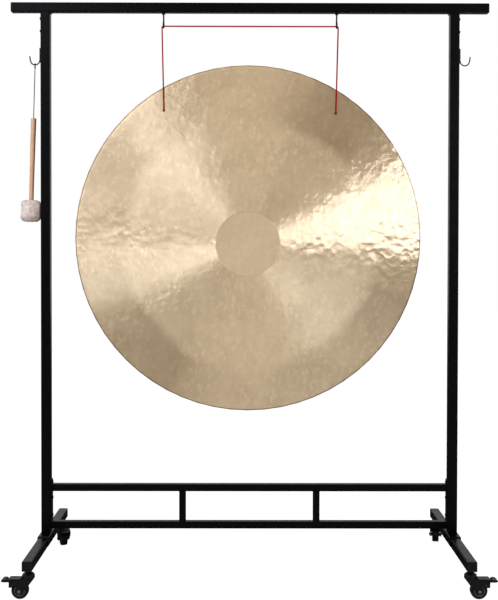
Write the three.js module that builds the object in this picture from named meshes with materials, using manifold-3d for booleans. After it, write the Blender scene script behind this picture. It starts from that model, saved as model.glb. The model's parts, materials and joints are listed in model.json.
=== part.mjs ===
// A rolling gong stand with its gong on a cord and a mallet on a side hook.
// Millimetres, +Z up, +X to the viewer's right, -Y towards the viewer.
import * as THREE from "three";
import { mergeVertices } from "three/addons/utils/BufferGeometryUtils.js";
import Module from "manifold-3d";

const wasm = await Module();
wasm.setup();

// Gong, and the room that the stand gives it
const gong = {
  diameter: 1100, thickness: 2.4, bulge: 8, rimRoll: 2, rimWidth: 10, centreDisc: 206, discLift: 0.4,
  discDrop: 18, sideOffset: -6, roll: 0.8,
};
const gongHole = { inset: 64, halfAngle: 34.2, clearance: 0.9 };
const gongRoom = { below: 233.25, above: 164, beside: 82.5 };

// Frame
const frameTube = { size: 30, wall: 2, corner: 3 };
const barOverhang = 93.5;
const barStubLength = 75;
const cornerGusset = { leg: 5, width: 20 };
const cap = { thickness: 3, insert: 12, chamfer: 1.5 };

// Lower ladder frame
const railTube = { size: 23, wall: 1.5, corner: 2.5 };
const strutTube = { size: 21, wall: 1.5, corner: 2 };
const ladder = { bottom: 130.5, railGap: 96.25, strutSpacing: 427 };
const endPlate = { thickness: 3, above: 13.75, lowBolt: 19, middleBolt: 21, topBolt: 5.5 };

// Feet and the saddles that carry the uprights on them
const footLength = 600;
const footBottom = 85;
const saddle = {
  length: 110, flangeLength: 146, wall: 3, drop: 24, sideGap: 0.25, bend: 3, boltOffset: 20, boltDrop: 14,
  stubHeight: 70,
};
const stubTube = { size: 25, wall: 2, corner: 2.5 };

// Fasteners
const smallBolt = { across: 8, head: 3.5, shank: 5, length: 9 };
const saddleBolt = { across: 10, head: 4, shank: 6, nut: 5, end: 2 };
const topBoltDrops = [18.75, 58.5];
const screw = { across: 7, head: 2, shank: 3, length: 8 };

// Clearances and overlaps
const gap = 0.3;
const overrun = 2;
const weldOverlap = 0.5;

// Gong hooks
const hookSpread = 1.33;
const gongHook = { wire: 5, bend: 8, drop: 49.5, neck: 14, tip: 8, collar: 10, collarHeight: 5, inside: 5 };

// Red cord that carries the gong
const cord = { diameter: 4, bend: 5, knot: 11, seam: 1 };

// Mallet hooks on the outer faces of the uprights
const malletHook = { wire: 4, bend: 15.25, drop: 150, tip: 12.5, tipLean: 1.5 };
const hookPlate = { thickness: 2, width: 16, drop: 112, height: 46, screwInset: 9 };

// Mallet on its string
const malletString = { diameter: 3, loopWidth: 7.8, knot: 5.5, length: 160, inset: 5, freeAngle: 18 };
const loopStretchShare = 1.35;
const handle = { topDiameter: 17.5, waistDiameter: 15, length: 262, inset: 44, endRound: 2 };
const head = { diameter: 65, height: 65, round: 15 };

// Braked swivel casters; places in a fork's own frame run out from the stem along +X
const caster = {
  inset: 25, trail: 24, wheelDiameter: 50, wheelWidth: 22.5, tyreDepth: 7, tyreRound: 4, hubRecess: 7,
  hubLip: 3.4, hubBoss: 7, axle: 6, axleHead: 10, axleHeadHeight: 3, forkWidth: 38, cheek: 3, sideGap: 0.6,
  axleBoss: 8.5,
};
const crown = {
  radius: 19, bottom: 60, top: 75.5, topLand: 9, edge: 4, shoulder: 5, cavity: 8.5, stem: 10,
  heelHeight: 61.7, toeReach: -0.9, toeHeight: 39.5, pocket: 1.6, cheekTop: 58,
};
const stemNut = { across: 17, height: 8, innerHeight: 6, flange: 3 };
const pedal = {
  skirt: 2.9, wall: 4, start: 20.6, top: 60.5, pin: 5, pinReach: 48.5, pinHeight: 50.5, pinHead: 1, eye: 7,
  ear: 5.5, earDrop: 13.5,
  lug: 6.5, humpEnd: 53, dipReach: 59.5, dipHeight: 54.5, lipReach: 68, lipHeight: 59.5, tipReach: 78,
  tipHeight: 55.5, tipRound: 4, underHeight: 51.5, noseBack: 1.5, noseDrop: 11,
};
const casterPlaces = [
  { name: "front_left", side: -1, end: -1, heading: 180 },
  { name: "front_right", side: 1, end: -1, heading: 0 },
  { name: "rear_left", side: -1, end: 1, heading: -70 },
  { name: "rear_right", side: 1, end: 1, heading: 80 },
];

// Where the gong's rings of facets lie, as shares of its radius
const dishShares = [0.3, 0.65];

// Counts of facets
const sides = { cord: 6, wire: 8, hole: 10, round: 16, wheel: 20, disc: 32, gong: 64 };

// Sizes worked out from the driving ones
const half = frameTube.size / 2;
const upperRailBottom = ladder.bottom + railTube.size + ladder.railGap;
const gongRadius = gong.diameter / 2;
const gongCentreHeight = upperRailBottom + railTube.size + gongRoom.below + gongRadius;
const barBottom = gongCentreHeight + gongRadius + gongRoom.above;
const standHeight = barBottom + frameTube.size;
const uprightSpacing = gong.diameter + 2 * gongRoom.beside + frameTube.size;
const uprightX = uprightSpacing / 2;
const barLength = uprightSpacing + frameTube.size + 2 * barOverhang;
const footTop = footBottom + frameTube.size;
const saddleTop = footTop + saddle.wall;
const uprightHeight = barBottom - saddleTop;
const railLength = uprightSpacing - frameTube.size - 2 * endPlate.thickness;
const upperRailTop = upperRailBottom + railTube.size;
const endPlateHeight = upperRailTop + endPlate.above - ladder.bottom;
const ladderBoltHeights = [
  ladder.bottom + railTube.size + endPlate.lowBolt, upperRailBottom - endPlate.middleBolt,
  upperRailTop + endPlate.topBolt,
];
const plateTop = barBottom - hookPlate.drop;
const plateScrewHeights = [plateTop - hookPlate.height + hookPlate.screwInset, plateTop - hookPlate.screwInset];
const malletBendHeight = barBottom - malletHook.drop;
const cordRadius = cord.diameter / 2;
const holeRadius = gongRadius - gongHole.inset;
const gongHookX = holeRadius * Math.sin(THREE.MathUtils.degToRad(gongHole.halfAngle)) + hookSpread;
const gongWireZ = barBottom - gongHook.drop + gongHook.wire / 2;

// Colours
const finish = (color, roughness, metalness) => new THREE.MeshStandardMaterial({ color, roughness, metalness });
const paint = finish(0x101112, 0.45, 0.3);
const plastic = finish(0x161616, 0.6, 0);
const zinc = finish(0xb9bcc0, 0.35, 1);
const blackSteel = finish(0x1c1c1e, 0.4, 0.8);
const darkZinc = finish(0x6f7174, 0.4, 1);
const rubber = finish(0x0c0c0c, 0.8, 0);
const hubGrey = finish(0x8c8d8f, 0.6, 0);
const bronze = finish(0xc9ae84, 0.3, 1);
const redCord = finish(0xb5162a, 0.7, 0);
const stringGrey = finish(0x45464a, 0.8, 0);
const beech = finish(0xd9ad84, 0.5, 0);
const fleece = finish(0xe9e0da, 0.95, 0);

// A closed geometry as a solid for cuts and joins, and back again
function solidOf(geometry) {
  const bare = geometry.index ? geometry.toNonIndexed() : geometry.clone();
  bare.deleteAttribute("normal");
  bare.deleteAttribute("uv");
  const merged = mergeVertices(bare, 1e-4);
  return new wasm.Manifold(new wasm.Mesh({
    numProp: 3,
    vertProperties: merged.attributes.position.array,
    triVerts: new Uint32Array(merged.index.array),
  }));
}

function geometryOf(solid) {
  const mesh = solid.getMesh();
  const geometry = new THREE.BufferGeometry();
  geometry.setAttribute("position", new THREE.BufferAttribute(new Float32Array(mesh.vertProperties), 3));
  geometry.setIndex(new THREE.BufferAttribute(new Uint32Array(mesh.triVerts), 1));
  const flat = geometry.toNonIndexed();
  flat.computeVertexNormals();
  return flat;
}

function join(...geometries) {
  return geometryOf(geometries.map(solidOf).reduce((all, next) => all.add(next)));
}

function cut(geometry, ...tools) {
  return geometryOf(tools.map(solidOf).reduce((left, tool) => left.subtract(tool), solidOf(geometry)));
}

// Flat outline of a rounded rectangle, centred
function roundedRectangle(width, height, radius, shape = new THREE.Shape()) {
  const x = width / 2, y = height / 2;
  shape.moveTo(x - radius, -y);
  shape.absarc(x - radius, -y + radius, radius, -Math.PI / 2, 0);
  shape.absarc(x - radius, y - radius, radius, 0, Math.PI / 2);
  shape.absarc(-x + radius, y - radius, radius, Math.PI / 2, Math.PI);
  shape.absarc(-x + radius, -y + radius, radius, Math.PI, 1.5 * Math.PI);
  shape.closePath();
  return shape;
}

function extrude(shape, depth, curveSegments = 2) {
  return new THREE.ExtrudeGeometry(shape, { depth, bevelEnabled: false, curveSegments });
}

// Square tube that stands on its lower end
function squareTube(tube, length) {
  const shape = roundedRectangle(tube.size, tube.size, tube.corner);
  const bore = tube.size - 2 * tube.wall;
  shape.holes.push(roundedRectangle(bore, bore, Math.max(tube.corner - tube.wall, tube.wall / 2), new THREE.Path()));
  return extrude(shape, length);
}

const box = (x, y, z) => new THREE.BoxGeometry(x, y, z);

// Cylinder along Z whose lower end is at the origin
function rod(diameter, length, count = sides.round) {
  return new THREE.CylinderGeometry(diameter / 2, diameter / 2, length, count)
    .rotateX(Math.PI / 2).translate(0, 0, length / 2);
}

function hexagon(across, height) {
  return rod(across / Math.cos(Math.PI / 6), height, 6);
}

// Revolved solid about Z from a profile of [radius, height] pairs
function turned(profile, count = sides.round) {
  const points = profile.map(([r, z]) => new THREE.Vector2(r, z));
  return new THREE.LatheGeometry(points, count).rotateX(Math.PI / 2);
}

// Smooth curve whose sweep steps follow its points, so tight bends get as many as long straights
class Route extends THREE.CatmullRomCurve3 {
  constructor(points) {
    super(points, false, "centripetal");
  }
  getPointAt(share, target) {
    return this.getPoint(share, target);
  }
  getTangentAt(share, target) {
    return this.getTangent(share, target);
  }
}

// Round section swept along a smooth run of points
function sweptRound(points, diameter, count, stepsPerSpan = 1) {
  const shape = new THREE.Shape().absarc(0, 0, diameter / 2, 0, 2 * Math.PI);
  const steps = (points.length - 1) * stepsPerSpan;
  return new THREE.ExtrudeGeometry(shape,
    { steps, curveSegments: count / 2, extrudePath: new Route(points), bevelEnabled: false });
}

// Bolt along +Z: shank below the face at z = 0, hexagon head above it
function bolt(size) {
  return join(
    hexagon(size.across, size.head).translate(0, 0, gap),
    rod(size.shank, size.length + weldOverlap, sides.hole).translate(0, 0, -size.length + gap),
  );
}

// The same as one body with the piece that it clamps
function rivetedBolt(size, length = size.length) {
  return join(
    hexagon(size.across, size.head + weldOverlap).translate(0, 0, -weldOverlap),
    rod(size.shank, length, sides.hole).translate(0, 0, -length),
  );
}

const holeFor = (size, depth) =>
  rod(size.shank + 2 * gap, depth, sides.hole).translate(0, 0, -depth / 2);

// Plug that closes a square tube, seen end on along +Z
function tubeCap(tube) {
  const bore = tube.size - 2 * tube.wall - 2 * gap;
  const face = new THREE.ExtrudeGeometry(
    roundedRectangle(tube.size - 2 * cap.chamfer, tube.size - 2 * cap.chamfer, tube.corner / 2),
    { depth: cap.thickness - cap.chamfer, bevelEnabled: true, bevelThickness: cap.chamfer,
      bevelSize: cap.chamfer, bevelSegments: 1, curveSegments: 2 },
  );
  const trimmed = cut(face, box(2 * tube.size, 2 * tube.size, 2 * cap.chamfer).translate(0, 0, -cap.chamfer));
  const plug = extrude(roundedRectangle(bore, bore, tube.corner / 2), cap.insert + weldOverlap)
    .translate(0, 0, -cap.insert);
  return join(trimmed, plug);
}

function part(name, geometry, material, parent, place = [0, 0, 0], turn = [0, 0, 0]) {
  const mesh = new THREE.Mesh(geometry, material);
  mesh.name = name;
  mesh.position.set(...place);
  mesh.rotation.set(...turn);
  parent.add(mesh);
  return mesh;
}

// Tools that drill from the outer (-X) or inner (+X) face of an upright or a stub
const alongX = (geometry, direction) => geometry.rotateY(direction * Math.PI / 2);

// A drill across one wall at the face |x| = half, side 1 or -1, at a height above the floor
const wallDrill = (size, side, height) =>
  alongX(holeFor(size, 2 * frameTube.wall + overrun), side).translate(side * half, 0, height - saddleTop);

function uprightGeometry() {
  return cut(squareTube(frameTube, uprightHeight),
    ...topBoltDrops.map((drop) => wallDrill(smallBolt, -1, barBottom - drop)),
    ...plateScrewHeights.map((height) => wallDrill(screw, -1, height)),
    ...ladderBoltHeights.map((height) => wallDrill(smallBolt, 1, height)));
}

// Top bar along X with a stub that stands down into each upright
function topBarGeometry() {
  const tubeLength = barLength - 2 * cap.thickness;
  const bar = squareTube(frameTube, tubeLength).translate(0, 0, -tubeLength / 2).rotateY(Math.PI / 2);
  const pieces = [bar];
  const drills = [];
  for (const side of [-1, 1]) {
    const stub = squareTube(stubTube, barStubLength + frameTube.wall / 2);
    const bolts = topBoltDrops.map((drop) =>
      alongX(holeFor(smallBolt, 2 * stubTube.wall + overrun), 1)
        .translate(side * stubTube.size / 2, 0, barStubLength - drop));
    pieces.push(cut(stub, ...bolts).translate(side * uprightX, 0, -half - barStubLength));
    const web = new THREE.Shape([
      new THREE.Vector2(0, weldOverlap),
      new THREE.Vector2(0, -cornerGusset.leg),
      new THREE.Vector2(cornerGusset.leg, 0),
      new THREE.Vector2(cornerGusset.leg, weldOverlap),
    ]);
    const gusset = extrude(web, cornerGusset.width).translate(0, 0, -cornerGusset.width / 2).rotateX(Math.PI / 2);
    if (side > 0) gusset.rotateZ(Math.PI);
    pieces.push(gusset.translate(side * (uprightX - half - gap), 0, -half));
    drills.push(rod(gongHook.wire + 2 * gap, 2 * frameTube.wall + overrun, sides.hole)
      .translate(side * gongHookX, 0, -half - overrun));
  }
  return cut(join(...pieces), ...drills);
}

function footGeometry() {
  const tubeLength = footLength - 2 * cap.thickness;
  const tube = squareTube(frameTube, tubeLength).translate(0, 0, -tubeLength / 2).rotateX(Math.PI / 2);
  const drills = [];
  for (const end of [-1, 1]) {
    drills.push(alongX(holeFor(saddleBolt, 2 * frameTube.size), 1)
      .translate(0, end * saddle.boltOffset, half - saddle.boltDrop));
    drills.push(rod(crown.stem + 2 * gap, 2 * frameTube.wall + overrun, sides.hole)
      .translate(0, end * (footLength / 2 - caster.inset), -half - overrun));
  }
  return cut(tube, ...drills);
}

// Inverted channel over the foot with the stub that the upright slides onto
function saddleGeometry() {
  const inner = half + saddle.sideGap;
  const outer = inner + saddle.wall;
  const shape = new THREE.Shape();
  shape.moveTo(-outer, -saddle.drop);
  shape.lineTo(-inner, -saddle.drop);
  shape.lineTo(-inner, 0);
  shape.lineTo(inner, 0);
  shape.lineTo(inner, -saddle.drop);
  shape.lineTo(outer, -saddle.drop);
  shape.absarc(outer - saddle.bend, saddle.wall - saddle.bend, saddle.bend, 0, Math.PI / 2);
  shape.absarc(-outer + saddle.bend, saddle.wall - saddle.bend, saddle.bend, Math.PI / 2, Math.PI);
  shape.closePath();
  const channel = extrude(shape, saddle.flangeLength).translate(0, 0, -saddle.flangeLength / 2).rotateX(Math.PI / 2);
  const slant = (saddle.flangeLength - saddle.length) / 2 / (saddle.drop + saddle.wall);
  const beyond = outlineOf([
    [saddle.length / 2 - overrun * slant, saddle.wall + overrun],
    [saddle.flangeLength / 2 + overrun * slant, -saddle.drop - overrun],
    [saddle.flangeLength, -saddle.drop - overrun], [saddle.flangeLength, saddle.wall + overrun],
  ]);
  const ends = [-1, 1].map((end) => acrossY(beyond, 4 * half).rotateZ(end * Math.PI / 2));
  const stub = squareTube(stubTube, saddle.stubHeight + weldOverlap).translate(0, 0, saddle.wall - weldOverlap);
  const bolts = [-1, 1].map((end) => alongX(join(
    hexagon(saddleBolt.across, saddleBolt.head + weldOverlap).translate(0, 0, outer - weldOverlap),
    rod(saddleBolt.shank, 2 * outer + saddleBolt.nut + saddleBolt.end, sides.hole)
      .translate(0, 0, -outer - saddleBolt.nut - saddleBolt.end),
    hexagon(saddleBolt.across, saddleBolt.nut + weldOverlap).translate(0, 0, -outer - saddleBolt.nut),
  ), 1).translate(0, end * saddle.boltOffset, -saddle.boltDrop));
  const drill = alongX(holeFor(smallBolt, 2 * stubTube.wall + overrun), 1)
    .translate(stubTube.size / 2, 0, ladderBoltHeights[0] - footTop);
  return join(cut(join(channel, stub), drill, ...ends), ...bolts);
}

// Plate on the upright's inner face, with the bolts that hold the ladder frame
function endPlateGeometry() {
  const { thickness } = endPlate;
  const bolts = ladderBoltHeights.map((height) => alongX(rivetedBolt(smallBolt, smallBolt.length + thickness), 1)
    .translate(thickness / 2, 0, height - ladder.bottom));
  return join(box(thickness, frameTube.size, endPlateHeight).translate(0, 0, endPlateHeight / 2), ...bolts);
}

// Hook for the gong in the Y-Z plane, its top at the bar's underside
function gongHookGeometry() {
  const { wire, bend, neck, tip, collar, collarHeight, inside } = gongHook;
  const low = -(gongHook.drop - wire / 2);
  const arc = (angle) => new THREE.Vector3(0, bend * Math.cos(angle), low + bend - bend * Math.sin(angle));
  const turns = 4;
  const points = [
    new THREE.Vector3(0, 0, frameTube.wall + inside),
    new THREE.Vector3(0, 0, frameTube.wall),
    new THREE.Vector3(0, 0, -neck / 2),
    new THREE.Vector3(0, bend / 4, -neck),
    new THREE.Vector3(0, bend * 0.85, (low + bend - neck) / 2),
  ];
  for (let i = 0; i <= turns; i++) points.push(arc(Math.PI * i / turns));
  points.push(new THREE.Vector3(0, -bend, low + bend + tip));
  return join(
    sweptRound(points, wire, sides.wire, 2),
    hexagon(collar, collarHeight).translate(0, 0, -collarHeight - gap),
    hexagon(collar, inside - gap).translate(0, 0, frameTube.wall + gap),
  );
}

// Hook for a mallet in the X-Z plane, opening upwards, on a plate; the upright is on its +X side
function malletHookGeometry() {
  const { wire, bend, tip, tipLean } = malletHook;
  const shankX = -(hookPlate.thickness + wire / 2);
  const arcX = shankX - bend;
  const turns = 4;
  const points = [new THREE.Vector3(shankX + weldOverlap, 0, plateTop - 2 * hookPlate.screwInset)];
  points.push(new THREE.Vector3(shankX + weldOverlap, 0, malletBendHeight + bend / 2));
  for (let i = 0; i <= turns; i++) {
    const angle = Math.PI * i / turns;
    points.push(new THREE.Vector3(arcX + bend * Math.cos(angle), 0, malletBendHeight - bend * Math.sin(angle)));
  }
  points.push(new THREE.Vector3(arcX - bend - tipLean, 0, malletBendHeight + tip));
  const screws = plateScrewHeights.map((z) => alongX(join(
    rod(screw.across, screw.head + weldOverlap, sides.wire).translate(0, 0, -weldOverlap),
    rod(screw.shank, screw.length, sides.wire).translate(0, 0, -screw.length),
  ), -1).translate(-hookPlate.thickness, 0, z));
  const outline = roundedRectangle(hookPlate.width, hookPlate.height, hookPlate.thickness);
  const plate = extrude(outline, hookPlate.thickness).rotateX(Math.PI / 2).rotateZ(-Math.PI / 2)
    .translate(-hookPlate.thickness, 0, plateTop - hookPlate.height / 2);
  return join(plate, ...screws, sweptRound(points, wire, sides.wire, 2));
}

// One side of the stand, outer face towards -X; the other side is the same turned round
function addSide(parent, side, name) {
  const group = new THREE.Group();
  group.position.x = side * uprightX;
  group.rotation.z = side < 0 ? 0 : Math.PI;
  parent.add(group);
  part("foot_" + name, footGeometry(), paint, group, [0, 0, footBottom + half]);
  for (const [end, where] of [[-1, "front"], [1, "rear"]]) {
    const label = side < 0 ? where : where === "front" ? "rear" : "front";
    part(["foot_cap", label, name].join("_"), tubeCap(frameTube).rotateX(-end * Math.PI / 2), plastic, group,
      [0, end * (footLength / 2 - cap.thickness), footBottom + half]);
  }
  part("foot_saddle_" + name, saddleGeometry(), paint, group, [0, 0, footTop]);
  part("upright_" + name, uprightGeometry(), paint, group, [0, 0, saddleTop]);
  part("end_plate_" + name, endPlateGeometry(), paint, group,
    [half + endPlate.thickness / 2, 0, ladder.bottom]);
  topBoltDrops.forEach((drop, i) => {
    part(["upright_bolt", i ? "lower" : "upper", name].join("_"), alongX(bolt(smallBolt), -1), blackSteel, group,
      [-half, 0, barBottom - drop]);
  });
  part("mallet_hook_" + name, malletHookGeometry(), blackSteel, group, [-half, 0, 0]);
}

function addLadder(parent) {
  const rail = () => squareTube(railTube, railLength).translate(0, 0, -railLength / 2).rotateY(Math.PI / 2);
  part("lower_rail", rail(), paint, parent, [0, 0, ladder.bottom + railTube.size / 2]);
  part("upper_rail", rail(), paint, parent, [0, 0, upperRailBottom + railTube.size / 2]);
  const strutBottom = ladder.bottom + railTube.size;
  for (const [side, name] of [[-1, "left"], [1, "right"]]) {
    part("strut_" + name, squareTube(strutTube, ladder.railGap), paint, parent,
      [side * ladder.strutSpacing / 2, 0, strutBottom]);
  }
}

function addTop(parent) {
  part("top_bar", topBarGeometry(), paint, parent, [0, 0, standHeight - half]);
  for (const [side, name] of [[-1, "left"], [1, "right"]]) {
    part("bar_cap_" + name, tubeCap(frameTube).rotateY(side * Math.PI / 2), plastic, parent,
      [side * (barLength / 2 - cap.thickness), 0, standHeight - half]);
    part("gong_hook_" + name, gongHookGeometry(), zinc, parent, [side * gongHookX, 0, barBottom]);
  }
}

// Gong about Z, front face towards -Z, its lower side towards +Y: a shallow dish with a turned-back rim and a flat
// disc that stands a little proud, off the middle as on a hand-made gong
function gongGeometry() {
  const { thickness, bulge, rimRoll, rimWidth, discLift } = gong;
  const rimStart = gongRadius - rimWidth;
  const depth = (r) => -bulge * (1 - (r / gongRadius) ** 2);
  const dishRadii = [...dishShares.map((share) => gongRadius * share), rimStart];
  const dish = dishRadii.map((r) => [r, depth(r)]);
  const rim = [[gongRadius - rimWidth / 3, depth(rimStart) + rimRoll / 3], [gongRadius, depth(rimStart) + rimRoll]];
  const front = [[0, depth(0)], ...dish, ...rim];
  const back = front.map(([r, z]) => [r, z + thickness]).reverse();
  const disc = rod(gong.centreDisc, discLift + thickness / 2, sides.disc)
    .translate(0, gong.discDrop, depth(0) - discLift);
  return join(turned([...front, ...back], sides.gong), disc);
}

// Where the hole of one side lies, seen from the gong's own centre
function holePlace(side) {
  const angle = THREE.MathUtils.degToRad(side * gongHole.halfAngle + gong.roll);
  return { x: holeRadius * Math.sin(angle), z: holeRadius * Math.cos(angle) };
}

// Depth of the gong's front face at the holes, from the plane of its rim edge
const faceAtHole = -gong.bulge * (1 - (holeRadius / gongRadius) ** 2);
const gongPlaneY = cordRadius + gap - faceAtHole;

function addGong(parent) {
  const holes = [-1, 1].map((side) => {
    const { x, z } = holePlace(side);
    return rod(cord.diameter + 2 * gongHole.clearance, 8 * gong.thickness, sides.hole)
      .translate(0, 0, -4 * gong.thickness).rotateX(Math.PI / 2).translate(x, faceAtHole + gong.thickness / 2, z);
  });
  const plate = cut(gongGeometry().rotateX(-Math.PI / 2), ...holes);
  part("gong", plate, bronze, parent, [gong.sideOffset, gongPlaneY, gongCentreHeight]);
}

// Cord over both hooks, and a leg from each hook into the gong
function addCord(parent) {
  const reach = gongHook.wire / 2 + cordRadius + gap;
  const over = [];
  const turns = 6;
  for (let i = 0; i <= turns; i++) {
    const angle = Math.PI - Math.PI / 2 * i / turns;
    over.push(new THREE.Vector3(-gongHookX + reach * Math.cos(angle), 0, gongWireZ + reach * Math.sin(angle)));
  }
  const mirrored = over.map((p) => new THREE.Vector3(-p.x, 0, p.z)).reverse();
  const span = [-2, -1, 0, 1, 2].map((i) => new THREE.Vector3(i * gongHookX / 3, 0, gongWireZ + reach));
  part("cord_over_hooks", sweptRound([...over, ...span, ...mirrored], cord.diameter, sides.cord), redCord, parent);
  for (const [side, name] of [[-1, "left"], [1, "right"]]) {
    const hole = holePlace(side);
    const top = new THREE.Vector3(side * (gongHookX + reach), 0, gongWireZ - cord.seam);
    const end = new THREE.Vector3(gong.sideOffset + hole.x, 0, gongCentreHeight + hole.z);
    const down = end.clone().sub(top).normalize();
    const backY = gongPlaneY + faceAtHole + gong.thickness + gap;
    const points = [
      top,
      top.clone().lerp(end, 0.25),
      top.clone().lerp(end, 0.5),
      top.clone().lerp(end, 0.75),
      end.clone().addScaledVector(down, -2 * cord.bend),
      end.clone().addScaledVector(down, -cord.bend),
      new THREE.Vector3(end.x, cordRadius, end.z),
      new THREE.Vector3(end.x, backY, end.z),
      new THREE.Vector3(end.x, backY + cord.knot / 2, end.z),
    ];
    const knot = new THREE.SphereGeometry(cord.knot / 2, sides.wire, sides.cord)
      .translate(end.x, backY + cord.knot / 2, end.z);
    part("gong_cord_" + name, join(sweptRound(points, cord.diameter, sides.cord, 2), knot), redCord, parent);
  }
}

// Mallet that hangs from the left hook and leans on the upright
function addMallet(parent) {
  const hookX = -(uprightX + half + hookPlate.thickness + malletHook.wire / 2 + malletHook.bend);
  const wireZ = malletBendHeight - malletHook.bend;
  const stringRadius = malletString.diameter / 2;
  const stretch = loopStretchShare;
  const loopDrop = malletString.loopWidth / 2 * stretch - stringRadius * stretch - malletHook.wire / 2 - gap;
  const loop = new THREE.TorusGeometry(malletString.loopWidth / 2, stringRadius, sides.cord, sides.round)
    .scale(1, stretch, 1).rotateX(Math.PI / 2).rotateZ(Math.PI / 2).translate(0, 0, -loopDrop);
  const knotZ = -loopDrop - malletString.loopWidth / 2 * stretch - malletString.knot / 2;
  const knot = new THREE.SphereGeometry(malletString.knot / 2, sides.wire, sides.cord).translate(0, 0, knotZ);
  const swing = new THREE.Group();
  swing.position.set(hookX, 0, wireZ);
  const headDrop = -knotZ + malletString.length + handle.length + head.height / 2;
  const roomToUpright = -(uprightX + half) - hookX - gap;
  const flatHalf = head.height / 2 - head.round;
  const lean = Math.asin((head.diameter / 2 - roomToUpright) / (headDrop - flatHalf));
  swing.rotation.y = lean;
  parent.add(swing);
  const stringLength = malletString.length + malletString.inset;
  const line = rod(malletString.diameter, stringLength, sides.cord).translate(0, 0, knotZ - stringLength);
  part("mallet_string", join(loop, knot, line), stringGrey, swing);

  const top = handle.topDiameter / 2, waist = handle.waistDiameter / 2;
  const bore = stringRadius + gap;
  const mouth = bore + malletString.inset * Math.tan(THREE.MathUtils.degToRad(malletString.freeAngle));
  const round = handle.endRound;
  const bodyLength = handle.length + handle.inset;
  part("mallet_handle", turned([
    [0, -bodyLength], [waist - round / 2, -bodyLength], [waist, -bodyLength + round / 2],
    [waist, -handle.length * 0.75], [(waist + top) / 2, -handle.length * 0.4], [top, -handle.length * 0.1],
    [top, -round], [top - round, 0],
    [mouth, 0], [bore, -malletString.inset - gap], [0, -malletString.inset - gap],
  ]), beech, swing, [0, 0, knotZ - malletString.length]);

  const radius = head.diameter / 2;
  const socket = waist + gap;
  const profile = [[0, -handle.inset - gap], [socket, -handle.inset - gap], [socket, 0], [radius - head.round, 0]];
  const steps = 3;
  for (let i = 1; i <= steps; i++) {
    const angle = Math.PI / 2 * (1 - i / steps);
    profile.push([radius - head.round * (1 - Math.cos(angle)), -head.round * (1 - Math.sin(angle))]);
  }
  for (let i = 0; i <= steps; i++) {
    const angle = -Math.PI / 2 * i / steps;
    profile.push([radius - head.round * (1 - Math.cos(angle)), -head.height + head.round * (1 + Math.sin(angle))]);
  }
  profile.push([0, -head.height]);
  part("mallet_head", turned(profile.reverse()), fleece, swing,
    [0, 0, knotZ - malletString.length - handle.length]);
}

// Cylinder across a caster, along Y, with its middle at (x, z)
const crossRod = (diameter, width, x, z, count = sides.hole) =>
  rod(diameter, width, count).translate(0, 0, -width / 2).rotateX(Math.PI / 2).translate(x, 0, z);

// Flat outline in X and Z, extruded to a width across the caster
function acrossY(shape, width, curveSegments = 2) {
  return extrude(shape, width, curveSegments).translate(0, 0, -width / 2).rotateX(Math.PI / 2);
}

function outlineOf(points) {
  return new THREE.Shape(points.map(([x, z]) => new THREE.Vector2(x, z)));
}

const wheelRadius = caster.wheelDiameter / 2;
const forkOuter = caster.forkWidth;
const forkInner = forkOuter - 2 * caster.cheek;
const pedalWidth = forkInner - 2 * caster.sideGap;
const shoulderHeight = crown.top - crown.shoulder;

// Domed crown, cut off slantwise at its heel and hollowed over the wheel
function crownGeometry() {
  const { radius, top, edge, topLand, cavity, toeReach, toeHeight, heelHeight } = crown;
  const bore = crown.stem / 2 + gap;
  const dome = turned([
    [0, toeHeight], [radius, toeHeight], [radius, top - 2 * edge], [radius - edge / 4, top - edge],
    [radius - edge, top - edge / 4], [topLand, top], [0, top],
  ]);
  const slope = (toeHeight - heelHeight) / (toeReach + radius);
  const below = outlineOf([
    [-2 * radius, heelHeight - slope * radius], [toeReach, toeHeight], [2 * radius, toeHeight],
    [2 * radius, 0], [-2 * radius, 0],
  ]);
  const under = cut(dome, acrossY(below, 3 * radius));
  const pocket = crossRod(2 * (wheelRadius + crown.pocket), forkInner, caster.trail, wheelRadius, sides.wheel);
  const race = rod(2 * cavity, shoulderHeight - toeHeight + overrun).translate(0, 0, toeHeight - overrun);
  const neck = rod(2 * bore, 2 * crown.shoulder, sides.hole).translate(0, 0, shoulderHeight - overrun);
  return cut(under, pocket, race, neck);
}

// Fork: the crown with two cheeks that carry the axle and the pedal's pin
function forkGeometry() {
  const { trail, axleBoss } = caster;
  const { bottom, radius, toeReach, toeHeight } = crown;
  const eye = pedal.eye;
  const cheek = new THREE.Shape();
  cheek.moveTo(toeReach, toeHeight);
  cheek.lineTo(trail - axleBoss * Math.SQRT1_2, wheelRadius - axleBoss * Math.SQRT1_2);
  cheek.absarc(trail, wheelRadius, axleBoss, 1.25 * Math.PI, 2 * Math.PI);
  cheek.lineTo(trail + axleBoss, pedal.pinHeight - eye);
  cheek.lineTo(pedal.pinReach - pedal.ear, pedal.pinHeight - eye);
  cheek.lineTo(pedal.pinReach - pedal.ear, pedal.pinHeight - pedal.earDrop);
  cheek.lineTo(pedal.pinReach + pedal.ear, pedal.pinHeight - pedal.earDrop);
  cheek.lineTo(pedal.pinReach + pedal.ear, pedal.pinHeight);
  cheek.lineTo(pedal.pinReach, pedal.pinHeight + eye);
  cheek.lineTo(pedal.start, crown.cheekTop);
  cheek.lineTo(radius / 2, bottom + overrun);
  cheek.lineTo(-radius / 2, bottom + overrun);
  cheek.lineTo(-radius / 2, (toeHeight + bottom) / 2);
  cheek.closePath();
  const plates = cut(acrossY(cheek, forkOuter), box(4 * pedal.tipReach, forkInner, 4 * pedal.tipReach));
  return cut(join(crownGeometry(), plates),
    crossRod(caster.axle + 2 * gap, 2 * forkOuter, trail, wheelRadius),
    crossRod(pedal.pin + gap, 2 * forkOuter, pedal.pinReach, pedal.pinHeight));
}

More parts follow.
